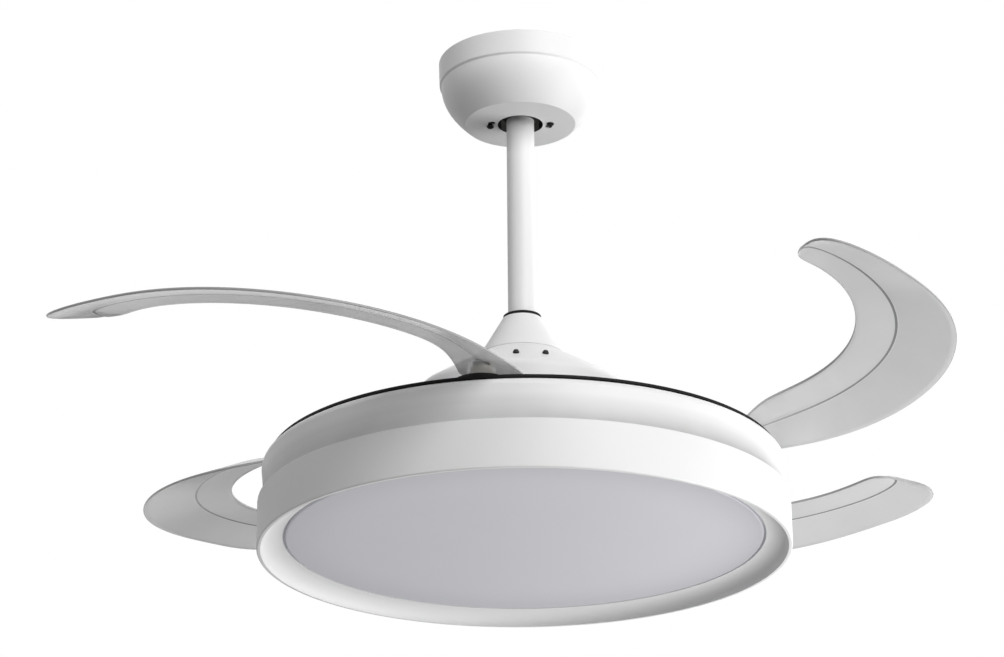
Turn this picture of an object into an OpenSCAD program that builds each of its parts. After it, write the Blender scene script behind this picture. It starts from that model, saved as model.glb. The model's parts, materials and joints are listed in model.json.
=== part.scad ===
// Ceiling fan whose four blades fold back over the motor, with a round lamp underneath.
// Millimetres, +Z up. The origin is the centre of the mounting bracket, on the ceiling.

/* [Stack, from the ceiling down] */
// Height of the canopy against the ceiling
canopy_h = 65; // [60:1:80]
// Length of rod that shows between the canopy and the bell
rod_h = 205; // [120:5:600]
// Height of the bell over the rod's lower end
bell_h = 36; // [26:1:44]
// Height of the dome over the motor
dome_h = 108.5; // [107:0.5:140]
// Thickness of the turning plate that carries the blades
plate_t = 3; // [3:0.5:6]
// Height of the fixed shell above the light ring
shell_h = 40; // [37:0.5:48]
// Height of the light ring
ring_h = 45.5; // [40:0.5:60]

/* [Round parts] */
// Outer radius of the canopy at the ceiling
canopy_r = 79.7; // [79:0.1:90]
// Outer radius of the rod
rod_r = 13.5; // [12:0.5:14]
// Radius of the hanger ball
ball_r = 22; // [21:0.5:23]
// Outer radius of the dome
dome_r = 104; // [103:1:106]
// Outer radius of the light ring
lamp_r = 250; // [245:1:300]
// Width of the opening that the diffuser shows in, from the ring's outer edge
ring_bevel_w = 24; // [20:1:30]
// Radius of the motor shaft
shaft_r = 8.5; // [8:0.5:9]

/* [Blades and gears] */
// Module of the gears that keep the blades together
gear_module = 2; // [2:0.5:2.5]
// Full tooth count of a blade's gear
blade_teeth = 24; // [20:1:26]
// How far a blade turns from open to folded, in degrees
fold_angle = 88; // [70:1:88]
// Radius of a blade's pivot pin
pin_r = 10; // [9:0.5:11]
// Thickness of a blade's sheet
blade_t = 2.4; // [2:0.1:3]
// Height of the blade's crease above a flat section
blade_crease_h = 4; // [1:0.5:7]

/* [Hidden] */

$fn = 96;

// Clearances
run_gap = 0.05;      // radial, between a shaft and its bearing or bush
turn_gap = 0.5;      // between flat faces that turn past each other
bell_gap = 0.6;      // between the fixed bell and the turning dome
plate_gap = 1;       // between the turning plate and the fixed shell
ball_gap = 0.05;     // radial, between the hanger ball and its seat
backlash = 0.25;     // taken off each gear tooth
eps = 0.01;

// Levels of the stack
z_canopy = -canopy_h;
z_bell = z_canopy - rod_h;
z_dome = z_bell - bell_h;
z_plate = z_dome - dome_h;
z_plate_low = z_plate - plate_t;
z_shell = z_plate_low - plate_gap;
z_ring = z_shell - shell_h;
z_bottom = z_ring - ring_h;

// Ceiling bracket and ball
bracket_t = 2.5;
bracket_w = 44;
bracket_l = 124;
slot_spacing = 88.9;
slot_w = 5.5;
slot_l = 13;
arm_x = 35;
z_ball = -44;
seat_h = 12;
seat_r = 30;
swing_r = rod_r + 5;
rod_wall = 1.5;
cross_pin_r = 3;

// Canopy
canopy_wall = 1.2;
canopy_floor_r = 54;
canopy_hole_r = 22;
canopy_band_h = 23.5;
canopy_band_step = 2.4;
canopy_bowl_r = canopy_r - canopy_band_step;
canopy_bowl_z = -canopy_band_h - 1.2;
canopy_screw_r = 29.5;
canopy_screw_turn = -5;

// Bell, gasket and coupler
bell_top_r = 18.9;
bell_knee_r = 22;
bell_knee_drop = 5.5;
bell_low_r = 42;
bell_wall = 1.5;
gasket_t = 3.2;
coupler_r = 19;
z_coupler = z_dome + 18;
z_coupler_low = z_dome - 28;
z_rod_low = z_dome - 6;
z_shaft_top = z_dome - 10;
z_coupler_pin = z_dome + 5;

// Dome
dome_top_r = 36;
dome_hole_r = 29;
dome_wall = 2;
dome_slope = 32;
dome_fillet = 10;
dome_screw_r = 83;
dome_screw_turns = [-94.5, -75.5];
dome_screw_head_r = 3.4;
dome_screw_head_h = 3.4;
dome_screw_sink = 4;

// Motor, measured up from the turning plate
case_r = 90;
case_wall = 6;
case_flange_r = 98;
case_flange_t = 4;
case_split_h = 36.5;
case_h = 66.5;
case_floor_t = 5;
boss_r = 22;
boss_hole_r = 12;
bearing_r = 17.5;
bearing_w = 10;
upper_bearing_h = 64.5;
lower_bearing_h = 6.5;
magnet_t = 5;
magnet_count = 20;
stator_r = 78;
stator_yoke_r = 42;
stator_bore_r = 20;
stator_low_h = 23.5;
stator_t = 26;
slot_count = 18;
tooth_w = 6;
coil_w = 13;
coil_over = 8;

// Turning plate and pivots
plate_r = lamp_r - 9;
plate_hole_r = 24;
sync_teeth = round(2 * (lamp_r - 36) / gear_module) - blade_teeth;
pivot_r = gear_module * (blade_teeth + sync_teeth) / 2;
blade_turns = [for (k = [0 : 3]) -10.2 + 90 * k];
bush_flange_r = 26;
bush_flange_t = 3;
bush_r = pin_r + 4;

// Gears under the plate
gear_t = 8;
z_gear = z_plate_low - turn_gap;
z_gear_low = z_gear - gear_t;
pressure_angle = 20;
blade_pitch_r = gear_module * blade_teeth / 2;
sync_pitch_r = gear_module * sync_teeth / 2;
sync_root_r = sync_pitch_r - 1.25 * gear_module;
sync_bore_r = sync_pitch_r - 30;
sync_turn = fold_angle * blade_teeth / sync_teeth;
blade_gear_r = blade_pitch_r - 2 * gear_module;
gear_hub_r = 12;
gear_hub_h = 6;
post_r = 4;
stop_r = sync_pitch_r - 16;
stop_slack = 0.35;
guide_w = 10;
guide_h = gear_t + 2 * turn_gap;
retainer_t = 1.5;
retainer_w = 18;
spring_r = 16;
spring_wire_r = 1.25;
spring_post_y = 34;
spring_post_x = spring_r - spring_wire_r;

// Blade: the control points of its two edges, from the pivot, x outward, z above the plate
blade_k = pivot_r / 214;
outer_edge = [
    [1, 37, 10], [108, 13, 5], [215, -25, 20], [273, -279, 30], [169, -251, 40], [112, -425, 50]
];
inner_edge = [
    [-6, -22, 18], [36, -36, 52], [3, -51, 27], [204, -80, 44], [114, -321, 58], [71, -292, 65]
];
blade_stations = 22;
cap_stations = 7;
root_cap_l = 22;
tip_at = 0.84;
tip_skew = -0.54;
crease_at = 0.45;
blade_columns = [0, 0.22, crease_at, 0.7, 1];
blade_boss_r = 13;
blade_boss_gap = 0.3;
blade_boss_h = 20;
pin_top_h = 16;
blade_screw_r = 3;
blade_screw_head_r = 8;

// Fixed shell and lamp
shell_r = lamp_r - 3.5;
shell_waist_r = lamp_r - 4.8;
shell_foot_r = lamp_r - 0.4;
shell_flare_h = 18;
shell_wall = 2;
shell_fillet = 8;
shell_well = 15;
z_floor = z_shell - shell_well;
tray_t = 2;
tray_r = lamp_r - 12;
z_tray_low = z_ring - tray_t;
shell_flange_in = tray_r - 6;
ring_wall = 2;
ring_lip_t = 2.5;
recess_h = 12.5;
opening_r = lamp_r - ring_bevel_w;
ring_bevel_out_r = lamp_r - 3.5;
diffuser_gap = 1.5;
diffuser_flange_w = 6;
diffuser_t = 3;
board_r = 200;
board_t = 1.6;
led_rows = [[60, 12], [105, 22], [150, 32], [188, 40]];
led_size = 3;
led_h = 0.7;
nut_r = 14;

function deg(x) = x * 180 / PI;
function polar(r, a) = [r * cos(a), r * sin(a)];
function arc_points(centre, r, a0, a1, n) =
    [for (i = [0 : n]) centre + polar(r, a0 + (a1 - a0) * i / n)];

// Turns a list of [radius, height] points into a solid of revolution.
module lathe(points) {
    rotate_extrude() polygon(points);
}

module tube(r_out, r_in, z0, z1) {
    translate([0, 0, z0]) difference() {
        cylinder(r = r_out, h = z1 - z0);
        translate([0, 0, -1]) cylinder(r = r_in, h = z1 - z0 + 2);
    }
}

// Copies its children to n equal turns about the Z axis.
module around(n, start = 0) {
    for (i = [0 : n - 1]) rotate(start + 360 * i / n) children();
}

// Pan-head screw that points up: its head's top face is at z = 0.
module screw_up(r, l, head_r, head_h) {
    cylinder(r = r, h = l);
    translate([0, 0, -head_h]) cylinder(r = head_r, h = head_h);
}

// ---- Ceiling side ----

module slot_2d(l, w) {
    for (side = [-1, 1]) translate([side * (l - w) / 2, 0]) circle(d = w);
    square([l - w, w], center = true);
}

module hanger_bracket() {
    color("silver") difference() {
        union() {
            translate([0, 0, -bracket_t]) linear_extrude(bracket_t) difference() {
                slot_2d(bracket_l, bracket_w);
                for (side = [-1, 1]) translate([side * slot_spacing / 2, 0])
                    slot_2d(slot_l, slot_w);
            }
            for (side = [-1, 1]) translate([side * (arm_x - 1.5), 0, z_ball / 2 - 6.5])
                cube([3, 30, -z_ball + 13 - bracket_t + 1], center = true);
            translate([0, 0, z_ball - 14]) cylinder(r = seat_r, h = seat_h);
            translate([0, 0, z_ball - 8 - 4]) cube([2 * arm_x, 20, 4], center = true);
            for (side = [0, 180]) rotate(canopy_screw_turn + side)
                translate([canopy_screw_r, 0, z_canopy + canopy_wall])
                    cylinder(r = 5.5, h = 12 + (z_ball - 14 - z_canopy - canopy_wall));
        }
        translate([0, 0, z_ball]) sphere(r = ball_r + ball_gap);
        translate([0, 0, z_ball - 30]) cylinder(r = swing_r, h = 30);
        translate([-swing_r, 0, z_ball - 30]) cube([2 * swing_r, 60, 30]);
        translate([0, 0, z_ball - 2]) cylinder(r = ball_r + ball_gap, h = 20);
        for (side = [0, 180]) rotate(canopy_screw_turn + side)
            translate([canopy_screw_r, 0, z_canopy]) cylinder(r = 2, h = 14);
    }
}

// The canopy's outer line, moved inward by its wall for the inside.
function canopy_line(off) = concat(
    [
        [canopy_r - off, 0],
        [canopy_r - 0.6 - off, -canopy_band_h],
    ],
    [for (d = [0 : 0.125 : 1])
        [canopy_floor_r - off + (canopy_bowl_r - canopy_floor_r) * (1 - d * d),
         canopy_bowl_z + (z_canopy + off - canopy_bowl_z) * d]]
);

module canopy() {
    color("white") difference() {
        lathe(concat(
            canopy_line(0),
            [[canopy_hole_r, z_canopy], [canopy_hole_r, z_canopy + canopy_wall]],
            [for (i = [len(canopy_line(0)) - 1 : -1 : 0]) canopy_line(canopy_wall)[i]]
        ));
        for (side = [0, 180]) rotate(canopy_screw_turn + side)
            translate([canopy_screw_r, 0, z_canopy - 1]) {
                cylinder(r = 2.6, h = 4);
                rotate(14) translate([-0.5, 7, 0]) cylinder(r = 3.6, h = 4);
                translate([-2.4, 0, 0]) cube([4.2, 6, 4]);
            }
    }
}

module canopy_screws() {
    color("black") for (side = [0, 180]) rotate(canopy_screw_turn + side)
        translate([canopy_screw_r, 0, z_canopy]) screw_up(2, 8, 3.6, 2.4);
}

module terminal_block() {
    color("ivory") translate([-20, -7, -bracket_t - 12]) difference() {
        cube([40, 14, 12]);
        for (i = [0 : 4]) translate([4 + 8 * i, 7, -1]) cylinder(r = 2, h = 8);
    }
}

module hanger_ball() {
    color("dimgray") difference() {
        translate([0, 0, z_ball]) sphere(r = ball_r);
        translate([0, 0, z_ball - 30]) cylinder(r = rod_r, h = 60);
        translate([0, 0, z_ball]) rotate([0, 90, 0])
            cylinder(r = cross_pin_r, h = 60, center = true);
        translate([0, -ball_r - 5, z_ball + 8]) rotate([-90, 0, 0]) cylinder(r = 3, h = 25);
    }
}

module downrod() {
    color("white") difference() {
        tube(rod_r, rod_r - rod_wall, z_rod_low, z_ball + 16);
        translate([0, 0, z_ball]) rotate([0, 90, 0])
            cylinder(r = cross_pin_r, h = 60, center = true);
        translate([0, 0, z_coupler_pin]) rotate([0, 90, 0])
            cylinder(r = cross_pin_r, h = 60, center = true);
    }
}

module ball_pin() {
    color("silver") translate([0, 0, z_ball]) rotate([0, 90, 0])
        cylinder(r = cross_pin_r, h = 2 * ball_r - 4, center = true);
}

module ball_set_screw() {
    screw_l = sqrt(ball_r * ball_r - 64) - rod_r - 1;
    color("dimgray") translate([0, -rod_r - screw_l, z_ball + 8]) rotate([-90, 0, 0])
        intersection() {
            cylinder(r = 3, h = screw_l + 2);
            translate([0, 0, -1]) difference() {
                cylinder(r = 4, h = 20);
                translate([0, 0, screw_l + 1 + rod_r]) rotate([90, 0, 0])
                    cylinder(r = rod_r, h = 20, center = true);
            }
        }
}

module rod_gasket() {
    color("black") lathe([
        [rod_r, z_bell - 3],
        [bell_top_r - 2, z_bell - 3],
        [bell_top_r - 2, z_bell],
        [bell_top_r - 0.4, z_bell],
        [bell_top_r - 0.8, z_bell + gasket_t],
        [rod_r, z_bell + gasket_t]
    ]);
}

module bell_cover() {
    low_in = bell_low_r - bell_wall;
    color("white") lathe([
        [bell_top_r - 2, z_bell],
        [bell_top_r, z_bell],
        [bell_knee_r, z_bell - bell_knee_drop],
        [bell_low_r, z_dome - cone_drop(bell_low_r) + bell_gap],
        [low_in, z_dome - cone_drop(low_in) + bell_gap],
        [bell_knee_r - bell_wall, z_bell - bell_knee_drop - 1],
        [bell_top_r - 2, z_bell - 2]
    ]);
}

module shaft_coupler() {
    color("silver") difference() {
        translate([0, 0, z_coupler_low]) cylinder(r = coupler_r, h = z_coupler - z_coupler_low);
        translate([0, 0, z_rod_low]) cylinder(r = rod_r, h = 60);
        translate([0, 0, z_coupler_low - 1]) cylinder(r = shaft_r, h = 60);
        translate([0, 0, z_coupler_pin]) rotate([0, 90, 0])
            cylinder(r = cross_pin_r, h = 60, center = true);
        for (z = [z_coupler - 5, z_coupler_low + 10]) translate([0, 0, z])
            rotate([90, 0, 0]) cylinder(r = 3, h = 60, center = true);
    }
}

module coupler_pin() {
    half = coupler_r + 5;
    color("silver") difference() {
        translate([-half + 2, 0, z_coupler_pin]) rotate([0, 90, 0]) {
            cylinder(r = cross_pin_r, h = 2 * half - 2);
            translate([0, 0, -2]) cylinder(r = cross_pin_r + 1.5, h = 2);
        }
        translate([half - 2, 0, z_coupler_pin - 5]) cylinder(r = 0.9, h = 10);
    }
}

module pin_clip() {
    color("silver") translate([coupler_r + 3, 0, z_coupler_pin - 4.2]) {
        cylinder(r = 0.9, h = 8.4);
        translate([0, 0, 8.4]) cylinder(r = 1.8, h = 1);
    }
}

// Four set screws: two on the rod and two on the shaft, each ground to what it presses on.
module coupler_screws() {
    color("dimgray") for (side = [0, 180]) rotate(side) {
        translate([0, 0, z_coupler - 5]) difference() {
            rotate([-90, 0, 0]) cylinder(r = 3, h = coupler_r - 0.5);
            cylinder(r = rod_r, h = 20, center = true);
        }
        translate([0, 0, z_coupler_low + 10]) difference() {
            rotate([-90, 0, 0]) cylinder(r = 3, h = coupler_r - 0.5);
            cylinder(r = shaft_r, h = 20, center = true);
        }
    }
}

// ---- Motor ----

module motor_shaft() {
    z_low = z_floor - shell_wall - 10;
    collar_z = z_plate + upper_bearing_h - 0.3;
    color("silver") difference() {
        union() {
            translate([0, 0, z_low]) cylinder(r = shaft_r, h = z_shaft_top - z_low);
            translate([0, 0, collar_z - 5.7]) cylinder(r = shaft_r + 2, h = 5.7);
        }
        translate([0, 0, z_low - 1]) cylinder(r = shaft_r - 3.5, h = z_shaft_top - z_low + 2);
    }
}

module stator_hub() {
    color("silver") tube(stator_bore_r, shaft_r,
        z_plate + stator_low_h - 3, z_plate + stator_low_h + stator_t + 3);
}

module stator_core() {
    color("slategray") translate([0, 0, z_plate + stator_low_h])
        linear_extrude(stator_t) difference() {
            union() {
                circle(r = stator_yoke_r);
                around(slot_count) {
                    translate([stator_yoke_r - 4, -tooth_w / 2])
                        square([stator_r - 5 - stator_yoke_r + 4, tooth_w]);
                    intersection() {
                        difference() {
                            circle(r = stator_r);
                            circle(r = stator_r - 5.5);
                        }
                        polygon([[0, 0], polar(100, -8), polar(100, 8)]);
                    }
                }
            }
            circle(r = stator_bore_r);
        }
}

module stator_windings() {
    l = stator_r - 8 - stator_yoke_r - 2;
    color("peru") around(slot_count) translate([stator_yoke_r + 2, 0, 0]) difference() {
        translate([0, -coil_w / 2, z_plate + stator_low_h - coil_over])
            cube([l, coil_w, stator_t + 2 * coil_over]);
        translate([-1, -tooth_w / 2, z_plate + stator_low_h]) cube([l + 2, tooth_w, stator_t]);
    }
}

module motor_case_top() {
    z_split = z_plate + case_split_h;
    z_top = z_plate + case_h;
    z_race = z_plate + upper_bearing_h;
    color("silver") difference() {
        lathe([
            [case_r - case_wall, z_split],
            [case_flange_r, z_split],
            [case_flange_r, z_split + case_flange_t],
            [case_r, z_split + case_flange_t],
            [case_r, z_top - 3],
            [case_r - 3, z_top],
            [boss_r, z_top],
            [boss_r, z_race + bearing_w + 2],
            [boss_hole_r, z_race + bearing_w + 2],
            [boss_hole_r, z_race + bearing_w],
            [bearing_r, z_race + bearing_w],
            [bearing_r, z_race],
            [boss_r, z_race],
            [boss_r, z_top - 4],
            [case_r - case_wall, z_top - 4]
        ]);
        around(6) translate([(case_r + case_flange_r) / 2, 0, z_split - 1]) cylinder(r = 2, h = 8);
        for (side = [0 : 3]) for (turn = dome_screw_turns) rotate(turn + 90 * side)
            translate([dome_screw_r, 0, z_top - 12]) cylinder(r = 1.6, h = 14);
    }
}

module motor_case_bottom() {
    z_split = z_plate + case_split_h;
    z_race = z_plate + lower_bearing_h;
    color("silver") difference() {
        lathe([
            [boss_hole_r, z_plate],
            [case_r, z_plate],
            [case_r, z_split - case_flange_t],
            [case_flange_r, z_split - case_flange_t],
            [case_flange_r, z_split],
            [case_r - case_wall, z_split],
            [case_r - case_wall, z_plate + case_floor_t],
            [boss_r, z_plate + case_floor_t],
            [boss_r, z_race + bearing_w],
            [bearing_r, z_race + bearing_w],
            [bearing_r, z_race],
            [boss_hole_r, z_race]
        ]);
        around(6) translate([(case_r + case_flange_r) / 2, 0, z_split - 6]) cylinder(r = 2, h = 8);
        around(6, 30) translate([60, 0, z_plate - 1]) cylinder(r = 2.5, h = 8);
    }
}

module case_screws() {
    z_split = z_plate + case_split_h;
    color("dimgray") around(6)
        translate([(case_r + case_flange_r) / 2, 0, z_split - case_flange_t])
            screw_up(2, 2 * case_flange_t, 3.4, 2.2);
}

module motor_magnets() {
    r = case_r - case_wall;
    color("dimgray") translate([0, 0, z_plate + stator_low_h - 1])
        linear_extrude(stator_t + 2) around(magnet_count) intersection() {
            difference() {
                circle(r = r);
                circle(r = r - magnet_t);
            }
            polygon([[0, 0], polar(120, -7.5), polar(120, 7.5)]);
        }
}

// Deep-groove bearing as two rings and its shields, made as one closed ring.
module bearing(z0) {
    bore = shaft_r + run_gap;
    color("silver") lathe([
        [bore, z0],
        [bore + 2.6, z0],
        [bore + 2.6, z0 + 0.6],
        [bearing_r - 2.6, z0 + 0.6],
        [bearing_r - 2.6, z0],
        [bearing_r, z0],
        [bearing_r, z0 + bearing_w],
        [bearing_r - 2.6, z0 + bearing_w],
        [bearing_r - 2.6, z0 + bearing_w - 0.6],
        [bore + 2.6, z0 + bearing_w - 0.6],
        [bore + 2.6, z0 + bearing_w],
        [bore, z0 + bearing_w]
    ]);
}

module upper_bearing() {
    bearing(z_plate + upper_bearing_h);
}

module lower_bearing() {
    bearing(z_plate + lower_bearing_h);
}

// ---- Dome ----

// Height of the dome's outer cone below its top, at radius r.
function cone_drop(r) = (r - dome_top_r) * tan(dome_slope);

// The dome's outer line, moved inward by off: cone, rounded shoulder, upright wall.
function dome_line(off) =
    let (wall_r = dome_r - off, rf = dome_fillet - off)
    let (shift = off / cos(dome_slope), centre_r = wall_r - rf)
    let (centre_z = z_dome - cone_drop(centre_r) - shift - rf / cos(dome_slope))
    concat(
        [[dome_top_r, z_dome - shift]],
        arc_points([centre_r, centre_z], rf, 90 - dome_slope, 0, 6),
        [[wall_r, z_plate]]
    );

module hub_cover() {
    inner = dome_line(dome_wall);
    color("white") difference() {
        lathe(concat(
            [[dome_hole_r, z_dome]],
            dome_line(0),
            [for (i = [len(inner) - 1 : -1 : 0]) inner[i]],
            [[dome_hole_r, inner[0][1]]]
        ));
        for (side = [0 : 3]) for (turn = dome_screw_turns) rotate(turn + 90 * side)
            translate([dome_screw_r, 0, z_dome - 80]) cylinder(r = 1.6, h = 80);
    }
}

module hub_cover_screws() {
    z_seat = z_dome - cone_drop(dome_screw_r);
    z_post = z_plate + case_h;
    color("black") for (side = [0 : 3]) for (turn = dome_screw_turns) rotate(turn + 90 * side)
        translate([dome_screw_r, 0, 0]) {
            translate([0, 0, z_post - 10]) cylinder(r = 1.6, h = z_seat - z_post + 12);
            intersection() {
                translate([0, 0, z_seat - dome_screw_sink])
                    cylinder(r = dome_screw_head_r, h = dome_screw_sink + dome_screw_head_h);
                translate([-dome_screw_r, 0, 0]) lathe([
                    [dome_top_r, z_dome],
                    [dome_r, z_dome - cone_drop(dome_r)],
                    [dome_r, z_dome],
                ]);
            }
        }
}

// ---- Turning plate ----

module rotor_plate() {
    color([0.1, 0.1, 0.1]) difference() {
        translate([0, 0, z_plate_low]) cylinder(r = plate_r, h = plate_t, $fn = 180);
        translate([0, 0, z_plate_low - 1]) cylinder(r = plate_hole_r, h = plate_t + 2);
        for (turn = blade_turns) rotate(turn) translate([pivot_r, 0, z_plate_low - 1])
            cylinder(r = bush_r, h = plate_t + 2);
        around(6, 30) translate([60, 0, z_plate_low - 1]) cylinder(r = 2.5, h = plate_t + 2);
        around(6) translate([sync_bore_r - guide_w / 2, 0, z_plate_low - 1])
            cylinder(r = 2, h = plate_t);
    }
}

module plate_screws() {
    color("dimgray") around(6, 30) translate([60, 0, z_plate_low])
        screw_up(2.5, plate_t + 4, 4.2, 2.5);
}

module pivot_bushes() {
    color([0.08, 0.08, 0.08]) for (turn = blade_turns) rotate(turn)
        translate([pivot_r, 0, 0]) {
            tube(bush_flange_r, pin_r + run_gap, z_plate, z_plate + bush_flange_t);
            tube(bush_r, pin_r + run_gap, z_plate_low, z_plate + eps);
        }
}

// Stops that run in the synchronising gear's slots, and the anchors of the springs.
module plate_posts() {
    color("silver") for (turn = blade_turns) rotate(turn) {
        rotate(45) translate([stop_r, 0, z_gear_low - 0.5])
            cylinder(r = post_r, h = gear_t + turn_gap + 0.5);
        translate([pivot_r + spring_post_x, -spring_post_y, z_gear_low - 6])
            cylinder(r = post_r, h = z_plate_low - z_gear_low + 6);
    }
}

// One spring per blade: a closed coil round the gear's hub, with its leg on the anchor.
module return_springs() {
    z_mid = z_gear_low - 3.2;
    color("silver") for (turn = blade_turns) rotate(turn) translate([pivot_r, 0, 0]) {
        tube(spring_r, spring_r - 2 * spring_wire_r, z_mid - 2.2, z_mid + 2.2);
        difference() {
            translate([spring_post_x, 0, z_mid]) rotate([90, 0, 0])
                cylinder(r = spring_wire_r, h = spring_post_y);
            translate([spring_post_x, -spring_post_y, z_mid - 5]) cylinder(r = post_r, h = 10);
            translate([0, 0, z_mid - 5]) cylinder(r = spring_r - spring_wire_r, h = 10);
        }
    }
}

module gear_guide() {
    color("ivory") difference() {
        tube(sync_bore_r - run_gap, sync_bore_r - guide_w, z_plate_low - guide_h, z_plate_low);
        around(6) translate([sync_bore_r - guide_w / 2, 0, z_plate_low - guide_h - 1])
            cylinder(r = 2, h = guide_h + 2);
    }
}

module gear_retainer() {
    z_low = z_plate_low - guide_h - retainer_t;
    color("silver") difference() {
        tube(sync_bore_r - guide_w + retainer_w, sync_bore_r - guide_w, z_low, z_low + retainer_t);
        around(6) translate([sync_bore_r - guide_w / 2, 0, z_low - 1]) cylinder(r = 2, h = 4);
    }
}

module guide_screws() {
    z_low = z_plate_low - guide_h - retainer_t;
    color("dimgray") around(6) translate([sync_bore_r - guide_w / 2, 0, z_low])
        screw_up(2, guide_h + retainer_t + plate_t - 1.5, 3.6, 2.2);
}

// ---- Gears ----

function involute(a) = deg(tan(a)) - a;

// Half the angle that a tooth takes at radius r, on a gear of pitch radius pr.
function tooth_half(r, pr) =
    let (base_r = pr * cos(pressure_angle), rr = max(r, base_r))
    deg((PI * gear_module - backlash) / 4 / pr) + involute(pressure_angle)
        - involute(acos(base_r / rr));

// One tooth along +X, from inside the gear's rim to its tip.
module tooth_2d(pr) {
    root = pr - 1.25 * gear_module;
    tip = pr + gear_module;
    radii = [root - 1, root + 1.2, pr - 0.4, pr + 0.8, tip];
    polygon(concat(
        [for (r = radii) polar(r, -tooth_half(r, pr))],
        [for (i = [len(radii) - 1 : -1 : 0]) polar(radii[i], tooth_half(radii[i], pr))]
    ));
}

// The ring that keeps the four blades in step: toothed only where the blade gears reach it.
module sync_gear() {
    pitch = 360 / sync_teeth;
    first = -ceil(sync_turn / pitch) - 2;
    post_a = asin(post_r / stop_r) + stop_slack;
    color("ivory") translate([0, 0, z_gear_low]) linear_extrude(gear_t) difference() {
        union() {
            circle(r = sync_root_r, $fn = 180);
            for (turn = blade_turns) for (i = [first : 2]) rotate(turn + pitch * i)
                tooth_2d(sync_pitch_r);
        }
        circle(r = sync_bore_r, $fn = 180);
        for (turn = blade_turns) rotate(turn + 45) intersection() {
            difference() {
                circle(r = stop_r + post_r + stop_slack);
                circle(r = stop_r - post_r - stop_slack);
            }
            polygon([[0, 0], polar(300, -sync_turn - post_a), polar(300, post_a)]);
        }
    }
}

// ---- Blades ----

function bezier(p, t) = len(p) == 1 ? p[0] :
    bezier([for (i = [0 : len(p) - 2]) p[i] * (1 - t) + p[i + 1] * t], t);

function unit(v) = v / norm(v);

// A blade section: its two edge points, narrowed to the share s and moved ahead by shift.
// A skew above 0 takes more off the inner edge than off the outer one.
function section(t, s, shift = [0, 0, 0], skew = 0) =
    let (a = bezier(inner_edge, t), b = bezier(outer_edge, t))
    let (half = (b - a) / 2, mid = (a + b) / 2 + half * skew * (1 - s) + shift)
    [mid - half * s, mid + half * s];

// The way in which the sheet runs on past its root. The tip narrows along the last stretch.
root_span = outer_edge[0] - inner_edge[0];
root_back = unit([-root_span[1], root_span[0], 0]);

cap_angles = [for (i = [1 : cap_stations]) 90 * i / (cap_stations + 0.5)];
sections = concat(
    [for (a = cap_angles) section(0, sin(a), root_back * root_cap_l * cos(a))],
    [for (i = [0 : blade_stations]) section(tip_at * i / blade_stations, 1)],
    [for (a = cap_angles) section(tip_at + (1 - tip_at) * sin(a), cos(a), skew = tip_skew)]
);

// Height of the creased surface above the line between the edges, at v across the blade.
function crease(v) = v < crease_at ? v / crease_at : (1 - v) / (1 - crease_at);

function sheet_point(sec, v, down) =
    let (p = sec[0] * (1 - v) + sec[1] * v, w = min(1, norm(sec[1] - sec[0]) / 60))
    [p[0] * blade_k, p[1] * blade_k, p[2] + blade_crease_h * crease(v) * w - down];

module blade_sheet() {
    n = len(blade_columns);
    m = 2 * n;
    rings = len(sections);
    points = [for (sec = sections) each concat(
        [for (v = blade_columns) sheet_point(sec, v, 0)],
        [for (i = [n - 1 : -1 : 0]) sheet_point(sec, blade_columns[i], blade_t)]
    )];
    faces = concat(
        [for (j = [0 : rings - 2]) for (i = [0 : m - 1])
            let (a = j * m + i, b = j * m + (i + 1) % m)
            each [[a, b, b + m], [a, b + m, a + m]]],
        [for (i = [0 : n - 2]) each [[i + 1, i, m - 1 - i], [i + 1, m - 1 - i, m - 2 - i]]],
        [for (i = [0 : n - 2]) let (o = (rings - 1) * m)
            each [[o + i, o + i + 1, o + m - 1 - i], [o + i + 1, o + m - 2 - i, o + m - 1 - i]]]
    );
    polyhedron(points, faces);
}

module at_pivot(n) {
    rotate(blade_turns[n]) translate([pivot_r, 0, z_plate]) children();
}

module blade(n) {
    low = bush_flange_t + blade_boss_gap;
    color([0.72, 0.74, 0.76, 0.6]) at_pivot(n) difference() {
        union() {
            blade_sheet();
            translate([0, 0, low]) cylinder(r = blade_boss_r, h = blade_boss_h - low);
        }
        translate([0, 0, low - 1]) cylinder(r = pin_r, h = pin_top_h - low + 1);
        translate([0, 0, low]) cylinder(r = blade_screw_r, h = 40);
        translate([0, 0, blade_boss_h]) cylinder(r = blade_screw_head_r + 1, h = 20);
    }
}

module blade_gear(n) {
    drop = z_plate - z_gear;
    pitch = 360 / blade_teeth;
    last = ceil(fold_angle / pitch) + 1;
    color("ivory") at_pivot(n) difference() {
        union() {
            translate([0, 0, -drop - gear_t]) linear_extrude(gear_t) {
                circle(r = blade_gear_r);
                intersection() {
                    circle(r = blade_pitch_r - 1.25 * gear_module);
                    polygon(concat([[0, 0]], [for (a = [150 : 20 : 310]) polar(40, a)]));
                }
                for (i = [-2 : last]) rotate(180 + pitch * (i + 0.5)) tooth_2d(blade_pitch_r);
            }
            translate([0, 0, -drop - gear_t - gear_hub_h])
                cylinder(r = gear_hub_r, h = gear_hub_h + 1);
            translate([0, 0, -drop - gear_t]) cylinder(r = pin_r, h = drop + gear_t + pin_top_h);
        }
        translate([0, 0, pin_top_h - 14]) cylinder(r = blade_screw_r, h = 20);
    }
}

module blade_screw(n) {
    color("dimgray") at_pivot(n) translate([0, 0, blade_boss_h]) {
        difference() {
            cylinder(r = blade_screw_head_r, h = 3.2);
            translate([0, 0, 1.2]) cylinder(r = 3, h = 4, $fn = 6);
        }
        translate([0, 0, pin_top_h - 12 - blade_boss_h])
            cylinder(r = blade_screw_r, h = 13 + blade_boss_h - pin_top_h);
    }
}

// ---- Fixed shell and lamp ----

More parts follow.
